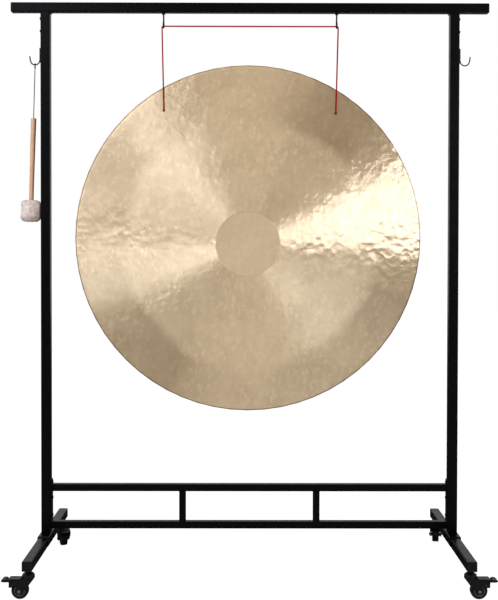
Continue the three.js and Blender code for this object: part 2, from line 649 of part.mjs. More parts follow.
function stemGeometry() {
  const flange = shoulderHeight - gap - stemNut.flange;
  const nutInside = footBottom + frameTube.wall + gap;
  return join(
    rod(crown.stem, nutInside + stemNut.innerHeight + overrun - flange, sides.hole).translate(0, 0, flange),
    rod(2 * (crown.cavity - gap), stemNut.flange).translate(0, 0, flange),
    hexagon(stemNut.across, stemNut.height).translate(0, 0, footBottom - gap - stemNut.height),
    hexagon(stemNut.across, stemNut.innerHeight).translate(0, 0, nutInside),
  );
}

// Ring about Y, the same on both sides, from [radius, distance from the middle] pairs that run outwards
function ringAcross(profile) {
  const left = profile.map(([r, y]) => [r, -y]);
  const right = [...profile].reverse();
  return turned([...left, ...right, left[0]], sides.wheel).rotateX(Math.PI / 2);
}

function tyreGeometry() {
  const inner = wheelRadius - caster.tyreDepth, w = caster.wheelWidth / 2, r = caster.tyreRound;
  const round = [0, 1, 2].map((i) => i * Math.PI / 4);
  return ringAcross([[inner, w], ...round.map((a) => [wheelRadius - r + r * Math.sin(a), w - r + r * Math.cos(a)])]);
}

// Hub with a recessed web on both sides, a rim under the tyre and a boss on the axle
function hubGeometry() {
  const rim = wheelRadius - caster.tyreDepth - gap / 2, w = caster.wheelWidth / 2;
  const lip = rim - caster.hubLip, web = w - caster.hubRecess, boss = forkInner / 2 - caster.sideGap;
  return ringAcross([
    [caster.axle / 2 + gap, boss], [caster.hubBoss, boss], [caster.hubBoss, web], [lip, web],
    [lip, w - gap], [rim, w - gap],
  ]);
}

// Axle with domed heads
function axleGeometry() {
  const shoulder = forkOuter / 2 + gap;
  const r = caster.axle / 2, headR = caster.axleHead / 2, h = caster.axleHeadHeight;
  const end = [
    [r, shoulder], [headR, shoulder], [headR, shoulder + h / 3], [headR * 2 / 3, shoulder + h], [0, shoulder + h],
  ];
  const start = end.map(([radius, y]) => [radius, -y]).reverse();
  return turned([...start, ...end], sides.hole).rotateX(Math.PI / 2);
}

// Brake pedal between the cheeks: a cover with side skirts, a nose that meets the tyre, a foot plate and its pin
function pedalGeometry() {
  const p = pedal;
  const shape = new THREE.Shape();
  shape.moveTo(p.start, p.underHeight);
  shape.lineTo(p.start, p.top - p.tipRound / 2);
  shape.quadraticCurveTo(p.start, p.top, p.start + p.tipRound / 2, p.top);
  shape.lineTo(p.humpEnd, p.top);
  shape.quadraticCurveTo(p.dipReach - p.tipRound / 2, p.top, p.dipReach, p.dipHeight);
  shape.quadraticCurveTo(p.dipReach + p.tipRound, p.lipHeight, p.lipReach, p.lipHeight);
  shape.quadraticCurveTo(p.tipReach - p.tipRound / 2, p.lipHeight, p.tipReach, p.tipHeight);
  shape.quadraticCurveTo(p.tipReach, p.underHeight, p.tipReach - 2 * p.tipRound, p.underHeight);
  shape.lineTo(p.pinReach + p.lug, p.underHeight);
  shape.lineTo(p.pinReach + p.lug, p.pinHeight);
  shape.absarc(p.pinReach, p.pinHeight, p.lug, 0, -Math.PI, true);
  shape.lineTo(p.pinReach - p.lug, p.underHeight);
  shape.closePath();
  const pocketEnd = p.pinReach + p.lug - p.wall / 2;
  const pocketTop = p.top - p.wall;
  const pocket = box(pocketEnd - p.start + overrun, pedalWidth - 2 * p.skirt, pocketTop)
    .translate((pocketEnd + p.start - overrun) / 2, 0, pocketTop / 2);
  const nose = outlineOf([
    [p.pinReach - p.pin, pocketTop + weldOverlap], [p.pinReach - p.pin, p.pinHeight - p.pin / 2],
    [p.pinReach - p.noseBack, p.pinHeight - p.noseDrop], [p.pinReach + p.pin / 2, p.pinHeight - p.noseDrop],
    [p.pinReach + p.pin, p.pinHeight - p.pin / 2], [p.pinReach + p.pin, pocketTop + weldOverlap],
  ]);
  return join(
    cut(acrossY(shape, pedalWidth), pocket),
    acrossY(nose, caster.wheelWidth),
    crossRod(p.pin, forkOuter + 2 * p.pinHead, p.pinReach, p.pinHeight),
  );
}

function addCaster(parent, { name, side, end, heading }) {
  const group = new THREE.Group();
  group.position.set(side * uprightX, end * (footLength / 2 - caster.inset), 0);
  group.rotation.z = THREE.MathUtils.degToRad(heading);
  parent.add(group);
  part("caster_stem_" + name, stemGeometry(), blackSteel, group);
  part("caster_fork_" + name, forkGeometry(), plastic, group);
  const wheel = [caster.trail, 0, wheelRadius];
  part("caster_tyre_" + name, tyreGeometry(), rubber, group, wheel);
  part("caster_hub_" + name, hubGeometry(), hubGrey, group, wheel);
  part("caster_axle_" + name, axleGeometry(), darkZinc, group, wheel);
  part("caster_pedal_" + name, pedalGeometry(), plastic, group);
}

function buildStand() {
  const stand = new THREE.Group();
  addTop(stand);
  addSide(stand, -1, "left");
  addSide(stand, 1, "right");
  addLadder(stand);
  addGong(stand);
  addCord(stand);
  addMallet(stand);
  for (const place of casterPlaces) addCaster(stand, place);
  return stand;
}

// The origin is on the floor, under the middle of the whole object's box
const stand = buildStand();
stand.updateMatrixWorld(true);
const bounds = new THREE.Box3().setFromObject(stand, true);
stand.position.y = -(bounds.min.y + bounds.max.y) / 2;

export default stand;
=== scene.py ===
import json
import math
import random

import bmesh
import bpy
from mathutils import Matrix, Vector


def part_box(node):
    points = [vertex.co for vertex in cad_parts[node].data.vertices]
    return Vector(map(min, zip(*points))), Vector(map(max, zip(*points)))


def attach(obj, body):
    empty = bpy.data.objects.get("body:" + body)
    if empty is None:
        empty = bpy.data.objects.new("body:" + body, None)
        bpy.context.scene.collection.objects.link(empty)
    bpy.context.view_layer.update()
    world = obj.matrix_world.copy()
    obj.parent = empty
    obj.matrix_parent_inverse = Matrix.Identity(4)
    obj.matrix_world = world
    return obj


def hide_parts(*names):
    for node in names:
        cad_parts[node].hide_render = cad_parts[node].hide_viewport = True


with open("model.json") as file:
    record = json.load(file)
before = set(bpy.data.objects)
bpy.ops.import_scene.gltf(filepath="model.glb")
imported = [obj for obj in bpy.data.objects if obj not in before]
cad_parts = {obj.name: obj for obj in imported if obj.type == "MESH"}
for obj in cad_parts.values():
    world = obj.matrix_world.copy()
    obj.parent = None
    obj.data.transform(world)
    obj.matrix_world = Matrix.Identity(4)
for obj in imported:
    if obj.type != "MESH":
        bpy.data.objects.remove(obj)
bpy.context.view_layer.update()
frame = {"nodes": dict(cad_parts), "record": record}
nodes = frame["nodes"]

# Sizes and places from the part's source, in metres and radians

upright_low, upright_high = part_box("upright_left")
MID_Y = (upright_low.y + upright_high.y) / 2

HOOK_X = 0.2745
HOOK_WIRE = 0.005
HOOK_WIRE_Z = 1.723

gong_low, gong_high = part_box("gong")
GONG_MIDDLE = Vector(((gong_low.x + gong_high.x) / 2, 0, (gong_low.z + gong_high.z) / 2))
GONG_ROLL = math.radians(0.8)
HOLE_OUT = 0.486
HOLE_ANGLE = math.radians(34.2)
DISC_DROP = 0.018
DISC_EDGE = 0.1028
EDGE_BLUR = 0.0006

MALLET_HOOK_WIRE = 0.004
MALLET_HANG = Vector((-0.68175, MID_Y, 1.60475))
MALLET_LEAN = math.radians(1.74116)
MALLET_TURN = Matrix.Rotation(MALLET_LEAN, 3, "Y")
STRING_TO_HANDLE = 0.168955
HANDLE_LENGTH = 0.262

# The way each caster points, in degrees from the x axis

CASTER_HEADINGS = {"front_left": 180, "front_right": 0, "rear_left": -70, "rear_right": 80}

# Sizes of the cord and the string, in metres

GAP_TO_WIRE = 0.0003

CORD = 0.004
CORD_BRAID = 0.00025
CORD_RADIUS = CORD / 2 + CORD_BRAID
CORD_OVER_WIRE = HOOK_WIRE / 2 + CORD / 2 + GAP_TO_WIRE
CORD_BEND = 0.010
CORD_BENDS_BY = CORD * 0.45
CORD_SINKS_BY = CORD * 0.05
CORD_KNOT_RADIUS = CORD / 2 * 0.75

STRING = 0.003
STRING_LOOP_RADIUS = 0.0039
STRING_LOOP_STRETCH = 1.35
STRING_LOOP_TUBE_RADIUS = 0.0014
STRING_KNOT_DROP = 0.00275
STRING_KNOT_TUBE_RADIUS = 0.0011
STRING_LENGTH = 0.165
STRING_TWIST = 0.0065
STRANDS = 3
STRAND_OUT = 0.00072
STRAND_RADIUS = 0.00076
STRAND_STEPS = 220

# Sizes of the mallet's head and its tufts, in metres

HEAD_HEIGHT = 0.0645
HEAD_RADIUS = 0.0315
HEAD_CORNER = 0.015
HEAD_HOLE = 0.0078
HEAD_BOTTOM_HOLE = 0.0001
HEAD_SIDES = 48

TUFTS = 2600
TUFT_STRAY = 0.0015
TUFT_LEAN = 0.7
TUFT_WIDTHS = (0.0006, 0.0011)
TUFT_HEIGHTS = (0.0012, 0.0028)
TUFT_ROOT = 0.0008
TUFT_CORNERS = (0, 2.1, 4.2)

# Colours

PAINT_BLACK = (0.0004, 0.0004, 0.0005)
PAINT_BLACK_WORN = (0.0009, 0.0009, 0.001)
PLASTIC_TONE = 0.002
HUB_DARK = (0.005, 0.005, 0.005)
# The hub's paler ring is a painted highlight
HUB_PAINTED_HIGHLIGHT = (0.11, 0.11, 0.105)
BLACK_PLATING = (0.009, 0.009, 0.01)
DARK_ZINC = (0.14, 0.14, 0.145)

WHITE = (1, 1, 1)
BRONZE_DULL = (0.88, 0.685, 0.452)
BRONZE = (1.0, 0.79, 0.53)
# Painted shade on the gong: a dark ring at the disc's edge, a darker zone near the rim, and a dark rim
# line
BRONZE_DISC_EDGE_PAINTED_SHADE = (0.8, 0.78, 0.75)
BRONZE_PAINTED_SHADE_NEAR_RIM = (0.7, 0.67, 0.64)
BRONZE_RIM_PAINTED_SHADE = (0.36, 0.3, 0.24)
BRONZE_MOTTLE = (0.9, 0.9, 0.89)
BRONZE_MARK = (0.85, 0.84, 0.82)
BRONZE_MARKS_AWAY = (0.93, 0.93, 0.925)

RED_DARK = (0.22, 0.0, 0.006)
RED = (0.38, 0.001, 0.012)
STRING_DARK = (0.004, 0.004, 0.005)
STRING_GREY = (0.016, 0.016, 0.018)

WOOD_DARK = (0.48, 0.25, 0.125)
WOOD = (0.66, 0.39, 0.215)
WOOD_PALE = (0.78, 0.51, 0.31)
FLEECE_DEEP = (0.6, 0.47, 0.38)
FLEECE = (0.92, 0.79, 0.69)

# Camera

CAMERA_PLACE = (-0.0132, MID_Y - 3.2441, 1.0426)
CAMERA_LENS = 61.14
CAMERA_SHIFT = -0.0661
CAMERA_ROLL = math.radians(0.097)
CAMERA_TILT = math.radians(0.999)
CAMERA_TURN = math.radians(0.19)


def add_camera():
    data = bpy.data.cameras.new("camera")
    data.sensor_width = 36
    data.lens = CAMERA_LENS
    data.shift_y = CAMERA_SHIFT
    data.clip_end = 50
    camera = bpy.data.objects.new("camera", data)
    bpy.context.collection.objects.link(camera)
    camera.location = CAMERA_PLACE
    roll = Matrix.Rotation(CAMERA_ROLL, 3, "Y")
    tilt = Matrix.Rotation(CAMERA_TILT, 3, "X")
    turn = Matrix.Rotation(CAMERA_TURN, 3, "Z")
    level = Matrix.Rotation(math.pi / 2, 3, "X")
    camera.rotation_euler = ((roll @ tilt @ turn).transposed() @ level).to_euler()
    bpy.context.scene.camera = camera


# Node trees

class Tree:
    """A node tree, with short ways to add nodes. Most of them give back the socket to go on from."""

    def __init__(self, tree):
        self.tree = tree
        self.tree.nodes.clear()

    def add(self, kind, **settings):
        node = self.tree.nodes.new(kind)
        for key, value in settings.items():
            if key in node.inputs:
                node.inputs[key].default_value = value
            else:
                setattr(node, key, value)
        return node

    def put(self, value, into):
        """Joins a socket to another one, or sets the other one's value."""
        if isinstance(value, bpy.types.NodeSocket):
            self.tree.links.new(value, into)
        else:
            into.default_value = value

    def maths(self, operation, *values):
        node = self.add("ShaderNodeMath", operation=operation)
        for value, into in zip(values, node.inputs):
            self.put(value, into)
        return node.outputs["Value"]

    def vector(self, operation, *values):
        node = self.add("ShaderNodeVectorMath", operation=operation)
        for value, into in zip(values, node.inputs):
            self.put(value, into)
        gives_number = operation in ("LENGTH", "DOT_PRODUCT")
        return node.outputs["Value" if gives_number else "Vector"]

    def part(self, vector, letter):
        node = self.add("ShaderNodeSeparateXYZ")
        self.put(vector, node.inputs[0])
        return node.outputs[letter]

    def grey(self, source, start, end, first=0, last=1, smooth=False):
        """Goes from the first value to the last while the source goes from start to end."""
        node = self.add("ShaderNodeMapRange")
        if smooth:
            node.interpolation_type = "SMOOTHSTEP"
        node.inputs["From Min"].default_value = start
        node.inputs["From Max"].default_value = end
        node.inputs["To Min"].default_value = first
        node.inputs["To Max"].default_value = last
        self.put(source, node.inputs["Value"])
        return node.outputs["Result"]

    def mix(self, amount, one, other, kind="RGBA"):
        """The first value where the amount is 0 and the other where it is 1."""
        first_input, output = {"FLOAT": (2, 0), "VECTOR": (4, 1), "RGBA": (6, 2)}[kind]
        node = self.add("ShaderNodeMix", data_type=kind)
        self.put(amount, node.inputs["Factor"])
        self.put(one, node.inputs[first_input])
        self.put(other, node.inputs[first_input + 1])
        return node.outputs[output]

    def mix_shaders(self, amount, one, other):
        node = self.add("ShaderNodeMixShader")
        self.put(amount, node.inputs["Fac"])
        self.put(one, node.inputs[1])
        self.put(other, node.inputs[2])
        return node.outputs[0]


class Look(Tree):
    """A material with one principled shader."""

    def __init__(self, name):
        self.material = bpy.data.materials.new(name)
        self.material.use_nodes = True
        super().__init__(self.material.node_tree)
        self.relief = None
        self.shader = self.add("ShaderNodeBsdfPrincipled")
        out = self.add("ShaderNodeOutputMaterial")
        self.put(self.shader.outputs["BSDF"], out.inputs["Surface"])

    def set(self, **values):
        for key, value in values.items():
            self.shader.inputs[key.replace("_", " ")].default_value = value

    def object_place(self):
        return self.add("ShaderNodeTexCoord").outputs["Object"]

    def coords(self, kind="Object", scale=(1, 1, 1)):
        source = self.add("ShaderNodeTexCoord")
        mapping = self.add("ShaderNodeMapping", Scale=scale)
        self.put(source.outputs[kind], mapping.inputs["Vector"])
        return mapping.outputs["Vector"]

    def noise(self, place, scale, detail=2.0, rough=0.5, out="Fac"):
        node = self.add("ShaderNodeTexNoise", Scale=scale, Detail=detail, Roughness=rough)
        self.put(place, node.inputs["Vector"])
        return node.outputs[out]

    def strayed(self, place, base, scale, reach):
        """Places pushed about by noise, so that a pattern laid on them is uneven."""
        push = self.noise(place, scale=scale, detail=2, out="Color")
        return self.vector("MULTIPLY_ADD", push, (reach, reach, reach), base)

    def cells(self, place, scale, smoothness):
        """How far each place is from the middle of its cell."""
        node = self.add("ShaderNodeTexVoronoi", feature="SMOOTH_F1", Scale=scale, Smoothness=smoothness)
        self.put(place, node.inputs["Vector"])
        return node.outputs["Distance"]

    def ramp(self, source, *stops):
        """Colours by value. Each stop is a value and its colour."""
        node = self.add("ShaderNodeValToRGB")
        elements = node.color_ramp.elements
        while len(elements) < len(stops):
            elements.new(0.5)
        for element, (where, color) in zip(elements, stops):
            element.position = where
            element.color = (*color, 1)
        self.put(source, node.inputs["Fac"])
        return node.outputs["Color"]

    def multiply(self, one, other):
        node = self.add("ShaderNodeMix", data_type="RGBA", blend_type="MULTIPLY", Factor=1.0)
        self.put(one, node.inputs[6])
        self.put(other, node.inputs[7])
        return node.outputs[2]

    def paint_shade_across(self, color, place, middle, direction, reach, stops):
        """Multiplies a colour by a ramp that runs across the piece over the reach: painted shade across
        it.
        """
        across = self.vector("DOT_PRODUCT", self.vector("SUBTRACT", place, middle), direction)
        start, end = reach
        return self.multiply(color, self.ramp(self.grey(across, start, end), *stops))

    def color(self, source):
        self.put(source, self.shader.inputs["Base Color"])

    def roughness(self, source, low, high):
        rough = self.grey(source, start=0.3, end=0.7, first=low, last=high)
        self.put(rough, self.shader.inputs["Roughness"])

    def bump(self, height, strength, distance):
        """Adds relief to what there is already."""
        node = self.add("ShaderNodeBump", Strength=strength, Distance=distance)
        self.put(height, node.inputs["Height"])
        if self.relief:
            self.put(self.relief, node.inputs["Normal"])
        self.relief = node.outputs["Normal"]
        self.put(self.relief, self.shader.inputs["Normal"])


# Looks of the frame, the hardware and the casters

def powder_coat():
    look = Look("powder_coat")
    place = look.coords()
    clouds = look.noise(place, scale=9, detail=3)
    look.color(look.ramp(clouds, (0.3, PAINT_BLACK), (0.7, PAINT_BLACK_WORN)))
    look.roughness(look.noise(place, scale=40), low=0.27, high=0.36)
    look.bump(look.noise(place, scale=900, detail=1), strength=0.2, distance=0.0003)
    look.set(Specular_IOR_Level=0.055)
    return look.material


def black_plastic(name, rough_low, rough_high):
    look = Look(name)
    place = look.coords()
    clouds = look.noise(place, scale=30, detail=3)
    dark = (PLASTIC_TONE * 0.8,) * 3
    light = (PLASTIC_TONE * 1.3,) * 3
    look.color(look.ramp(clouds, (0.3, dark), (0.75, light)))
    look.roughness(look.noise(place, scale=60), rough_low, rough_high)
    look.bump(look.noise(place, scale=1500, detail=1), strength=0.2, distance=0.0002)
    look.set(Specular_IOR_Level=0.12)
    return look.material


def hub_plastic(node):
    """Dark hub with a painted highlight: a paler ring near the inner edge of its lip."""
    look = Look(node + "_plastic")
    low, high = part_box(node)
    heading = math.radians(CASTER_HEADINGS[node.removeprefix("caster_hub_")])
    axle = Vector((-math.sin(heading), math.cos(heading), 0))
    place = look.vector("SUBTRACT", look.object_place(), (low + high) / 2)
    radius = look.vector("LENGTH", look.vector("CROSS_PRODUCT", place, axle))
    out = look.grey(radius, start=0.012, end=0.018)
    look.color(look.ramp(out, (0.3, HUB_DARK), (0.38, HUB_PAINTED_HIGHLIGHT), (0.5, HUB_PAINTED_HIGHLIGHT), (0.58, HUB_DARK)))
    look.set(Roughness=0.4, Specular_IOR_Level=0.3)
    return look.material


def plated(name, color, rough_low, rough_high):
    look = Look(name)
    place = look.coords()
    dark = tuple(c * 0.8 for c in color)
    look.set(Metallic=1.0)
    look.color(look.ramp(look.noise(place, scale=80, detail=3), (0.3, dark), (0.7, color)))
    look.roughness(look.noise(place, scale=160), rough_low, rough_high)
    look.bump(look.noise(place, scale=700, detail=1), strength=0.1, distance=0.0002)
    return look.material


# Look of the gong

# Painted shade on the gong near its rim: more towards these directions, and some all round
PAINTED_SHADE_TOWARDS = ((222, 0.75), (337, 0.5), (157, 0.4), (66, 0.4))
PAINTED_SHADE_EVERYWHERE = 0.17
ZONE_STRAY = 0.09
DENT_STEEPNESS = 1.6


def hole_from_middle(side):
    """From the gong's middle to its left (-1) or right (1) hole."""
    angle = side * HOLE_ANGLE + GONG_ROLL
    return Vector((HOLE_OUT * math.sin(angle), 0, HOLE_OUT * math.cos(angle)))


class Bronze(Look):
    """Bronze turned in fine rings and hammered in shallow dents, with a plain disc below its middle.

    Places are measured from the middle of the disc: in all three directions, or flat in the gong's plane.
    """

    def __init__(self):
        super().__init__("gong_bronze")
        self.drop = Vector((0, 0, DISC_DROP))
        self.place = self.vector("SUBTRACT", self.object_place(), GONG_MIDDLE - self.drop)
        self.flat = self.vector("MULTIPLY", self.place, (1, 0, 1))
        self.radius = self.vector("LENGTH", self.flat)
        self.outwards = self.vector("NORMALIZE", self.flat)
        self.disc = self.grey(self.radius, DISC_EDGE - EDGE_BLUR, DISC_EDGE + EDGE_BLUR, first=1, last=0)
        self.off_disc = self.maths("SUBTRACT", 1.0, self.disc)

    def flat_distance(self, from_gong_middle):
        away = self.vector("SUBTRACT", self.flat, self.drop + from_gong_middle)
        return self.vector("LENGTH", away)

    def toward(self, degrees, start, far, near):
        """Goes from far to near as a place's direction comes close to the given one."""
        angle = math.radians(degrees)
        direction = (math.cos(angle), 0, math.sin(angle))
        closeness = self.vector("DOT_PRODUCT", self.outwards, direction)
        return self.grey(closeness, start=start, end=1, first=far, last=near)

    def turned_lines(self):
        """Highlights run as they do on turned metal: across the rings, and straight on the disc."""
        across = self.mix(self.disc, self.outwards, (0, 0, 1), "VECTOR")
        turned = self.add("ShaderNodeVectorTransform", vector_type="VECTOR",
                          convert_from="OBJECT", convert_to="WORLD")
        self.put(across, turned.inputs[0])
        self.put(turned.outputs["Vector"], self.shader.inputs["Tangent"])

    def patina(self):
        clouds = self.noise(self.place, scale=5, detail=6, rough=0.72)
        return self.ramp(clouds, (0.3, BRONZE_DULL), (0.7, BRONZE))

    def disc_edge_painted_shade(self):
        # Painted shade: a darker ring along the edge of the plain disc
        near_edge = self.grey(self.radius, start=0.098, end=0.108)
        return self.ramp(near_edge, (0.40, WHITE), (0.5, BRONZE_DISC_EDGE_PAINTED_SHADE), (0.60, WHITE))

    def outer_painted_shade(self):
        """Painted shade, darker towards the rim, most in the four slanting directions."""
        sideways = self.part(self.outwards, "X")
        upwards = self.part(self.outwards, "Z")
        amount = self.maths("POWER", self.maths("MULTIPLY", sideways, upwards), 2)
        amount = self.maths("MULTIPLY", amount, self.toward(120, start=0.3, far=3.4, near=1.2))
        amount = self.maths("MULTIPLY", amount, self.toward(15, start=0.85, far=1, near=0.15))
        for degrees, more in PAINTED_SHADE_TOWARDS:
            amount = self.maths("ADD", amount, self.toward(degrees, start=0.93, far=0, near=more))
        amount = self.maths("ADD", amount, PAINTED_SHADE_EVERYWHERE)

        push = self.noise(self.flat, scale=7, detail=3)
        least_radius = self.maths("SUBTRACT", self.radius, ZONE_STRAY / 2)
        radius = self.maths("MULTIPLY_ADD", push, ZONE_STRAY, least_radius)
        outer = self.grey(radius, start=0.37, end=0.43, smooth=True)
        amount = self.maths("MULTIPLY", amount, outer)
        return self.mix(amount, (*WHITE, 1), (*BRONZE_PAINTED_SHADE_NEAR_RIM, 1))

    def rim_painted_shade_line(self):
        # Painted shade: a dark line along the rolled rim
        out = self.grey(self.flat_distance(Vector()), start=0.544, end=0.549)
        return self.ramp(out, (0.3, WHITE), (0.7, BRONZE_RIM_PAINTED_SHADE))

    def hole_shade(self):
        """Shade round the cord where it goes into each hole."""
        shade = 1.0
        for side in (-1, 1):
            away = self.flat_distance(hole_from_middle(side))
            light = self.grey(away, start=0.0034, end=0.0048, first=0.05, last=1)
            shade = self.maths("MULTIPLY", shade, light)
        return shade

    def mottle(self):
        clouds = self.noise(self.flat, scale=55, detail=5, rough=0.7)
        return self.ramp(clouds, (0.34, BRONZE_MOTTLE), (0.66, WHITE))

    def hammer_marks(self):
        taller = self.vector("MULTIPLY", self.flat, (1, 1, 0.6))
        uneven = self.strayed(self.flat, taller, scale=40, reach=0.03)
        return self.ramp(self.cells(uneven, scale=62, smoothness=0.4), (0.12, WHITE), (0.5, BRONZE_MARK))

    def marks_in_places(self, marks):
        """The marks fade out on the disc and here and there around it."""
        patches = self.grey(self.noise(self.flat, scale=9), start=0.4, end=0.62, first=0.75, last=0)
        away = self.maths("MAXIMUM", self.disc, patches)
        return self.mix(away, marks, (*BRONZE_MARKS_AWAY, 1))

    def ring_relief(self):
        rings = self.add("ShaderNodeTexNoise", noise_dimensions="1D", Scale=420, Detail=2)
        self.put(self.radius, rings.inputs["W"])
        self.bump(rings.outputs["Fac"], strength=0.15, distance=0.0004)

    def wave_relief(self):
        waves = self.noise(self.flat, scale=11, detail=3)
        self.bump(waves, strength=0.5, distance=0.0052)

    def dent_relief(self, uneven):
        """Shallow dents, deeper in patches and towards the right, and none on the disc."""
        bowls = self.maths("POWER", self.cells(uneven, scale=46, smoothness=0.7), DENT_STEEPNESS)
        patches = self.grey(self.noise(self.place, scale=7), start=0.35, end=0.65, first=0.3, last=1.0)
        rightwards = self.grey(self.part(self.place, "X"), start=0.0, end=0.4, first=0.6, last=1.1)
        depth = self.maths("MULTIPLY", self.maths("MULTIPLY", bowls, patches), rightwards)
        self.bump(self.maths("MULTIPLY", depth, self.off_disc), strength=0.5, distance=0.0026)

    def pit_relief(self, uneven):
        pits = self.add("ShaderNodeTexVoronoi", feature="F1", Scale=17)
        self.put(uneven, pits.inputs["Vector"])
        depth = self.grey(pits.outputs["Distance"], start=0.0, end=0.16, smooth=True)
        self.bump(self.maths("MULTIPLY", depth, self.off_disc), strength=0.6, distance=0.0007)


def turned_gong():
    look = Bronze()
    look.set(Metallic=1.0, Anisotropic=1.0)
    look.turned_lines()
    look.roughness(look.noise(look.place, scale=30), low=0.33, high=0.4)

    marks = look.hammer_marks()
    color = look.patina()
    # The disc edge, the outer zone, the rim line and the hole shade are painted shade; the mottle and the
    # marks are the bronze's own tone
    for tone_and_painted_shade in (look.disc_edge_painted_shade(), look.outer_painted_shade(), look.rim_painted_shade_line(), look.hole_shade(),
                 look.mottle(), look.marks_in_places(marks)):
        color = look.multiply(color, tone_and_painted_shade)
    look.color(color)

    uneven = look.strayed(look.flat, look.flat, scale=26, reach=0.03)
    look.ring_relief()
    look.wave_relief()
    look.dent_relief(uneven)
    look.pit_relief(uneven)
    look.bump(marks, strength=0.5, distance=0.0012)
    return look.material


# Looks of the cords and the mallet

def braided(name, dark, light, per_metre):
    look = Look(name)
    braid = look.add("ShaderNodeTexWave", bands_direction="DIAGONAL", Scale=0.35, Distortion=0.4)
    look.put(look.coords("UV", (per_metre, 6, 1)), braid.inputs["Vector"])
    look.color(look.ramp(braid.outputs["Fac"], (0.2, dark), (0.8, light)))
    look.set(Roughness=0.8, Specular_IOR_Level=0.05)
    look.bump(braid.outputs["Fac"], strength=0.4, distance=0.0004)
    return look.material


def wood():
    """Beech with grain along the handle, and painted shade on the side towards the upright."""
    look = Look("beech")
    grain = look.noise(look.coords("Object", (60, 60, 4)), scale=3.5, detail=5, rough=0.65)
    plain = look.ramp(grain, (0.32, WOOD_DARK), (0.5, WOOD), (0.7, WOOD_PALE))
    to_upright = (math.cos(MALLET_LEAN), 0, -math.sin(MALLET_LEAN))
    stops = (
        (0.0, WHITE),
        (0.4, (0.96, 0.92, 0.88)),
        (0.66, (0.74, 0.63, 0.54)),
        (0.86, (0.16, 0.1, 0.07)),
    )
    place = look.object_place()
    look.color(look.paint_shade_across(plain, place, MALLET_HANG, to_upright, (-0.009, 0.009), stops))
    look.roughness(grain, low=0.5, high=0.38)
    look.bump(grain, strength=0.15, distance=0.0003)
    return look.material


def fleece():
    """Pale pile, with painted shade at the lower side towards the upright."""
    look = Look("fleece")
    place = look.coords()
    plain = look.ramp(look.noise(place, scale=90, detail=4), (0.3, FLEECE_DEEP), (0.65, FLEECE))
    low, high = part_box("mallet_head")
    down_to_upright = (0.8, 0, -0.6)
    stops = ((0.1, WHITE), (0.9, (0.56, 0.5, 0.45)))
    middle = (low + high) / 2
    look.color(look.paint_shade_across(plain, place, middle, down_to_upright, (-0.03, 0.034), stops))
    look.set(Roughness=0.95, Sheen_Weight=0.4)
    look.bump(look.noise(place, scale=500, detail=3), strength=0.5, distance=0.001)
    return look.material


# Meshes

def new_object(name, mesh, body, material):
    piece = bpy.data.objects.new(name, mesh)
    bpy.context.collection.objects.link(piece)
    mesh.materials.append(material)
    for face in mesh.polygons:
        face.use_smooth = True
    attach(piece, body)
    return piece


def turns(steps):
    """Angles of a full turn, without its end."""
    return [2 * math.pi * i / steps for i in range(steps)]


def smooth_route(points, per_span=6):
    """Points of a smooth curve through the given ones."""
    points = [Vector(p) for p in points]
    first = points[0] * 2 - points[1]
    last = points[-1] * 2 - points[-2]
    padded = [first, *points, last]
    route = []
    for a, b, c, d in zip(padded, padded[1:], padded[2:], padded[3:]):
        before, here, after = [max((q - p).length, 1e-9) ** 0.5 for p, q in ((a, b), (b, c), (c, d))]
        leave = ((b - a) / before - (c - a) / (before + here) + (c - b) / here) * here
        arrive = ((c - b) / here - (d - b) / (here + after) + (d - c) / after) * here
        for step in range(per_span):
            t = step / per_span
            route.append((2 * t ** 3 - 3 * t * t + 1) * b + (t ** 3 - 2 * t * t + t) * leave
                         + (-2 * t ** 3 + 3 * t * t) * c + (t ** 3 - t * t) * arrive)
    route.append(points[-1])
    return route


def knot_route(width, depth, height, steps=24):
    """A closed knot with three leaves, about the origin."""
    route = []
    for i in range(steps + 1):
        a = 2 * math.pi * i / steps
        route.append(Vector(((math.sin(a) + 2 * math.sin(2 * a)) * width,
                             -math.sin(3 * a) * depth,
                             (math.cos(a) - 2 * math.cos(2 * a)) * height)))
    return route


def add_tube(bm, route, radius, sides=14):
    """Adds a round tube along the route, with U along its length in metres and V around it."""
    uv = bm.loops.layers.uv.verify()
    side = (route[1] - route[0]).normalized().orthogonal().normalized()
    rings = []
    lengths = []
    total = 0.0
    for i, point in enumerate(route):
        after = route[min(i + 1, len(route) - 1)]
        before = route[max(i - 1, 0)]
        ahead = (after - before).normalized()
        side = (side - ahead * side.dot(ahead)).normalized()
        other = ahead.cross(side)
        if i:
            total += (point - route[i - 1]).length
        lengths.append(total)
        rings.append([bm.verts.new(point + (side * math.cos(a) + other * math.sin(a)) * radius)
                      for a in turns(sides)])
    for i in range(len(rings) - 1):
        for k in range(sides):
            following = (k + 1) % sides
            face = bm.faces.new((rings[i][k], rings[i][following],
                                 rings[i + 1][following], rings[i + 1][k]))
            corners = ((i, k), (i, k + 1), (i + 1, k + 1), (i + 1, k))
            for loop, (u, v) in zip(face.loops, corners):
                loop[uv].uv = (lengths[u], v / sides)
    bm.faces.new(list(reversed(rings[0])))
    bm.faces.new(rings[-1])


def finish_mesh(bm, name):
    bmesh.ops.recalc_face_normals(bm, faces=bm.faces)
    mesh = bpy.data.meshes.new(name)
    bm.to_mesh(mesh)
    bm.free()
    return mesh


# Red cord

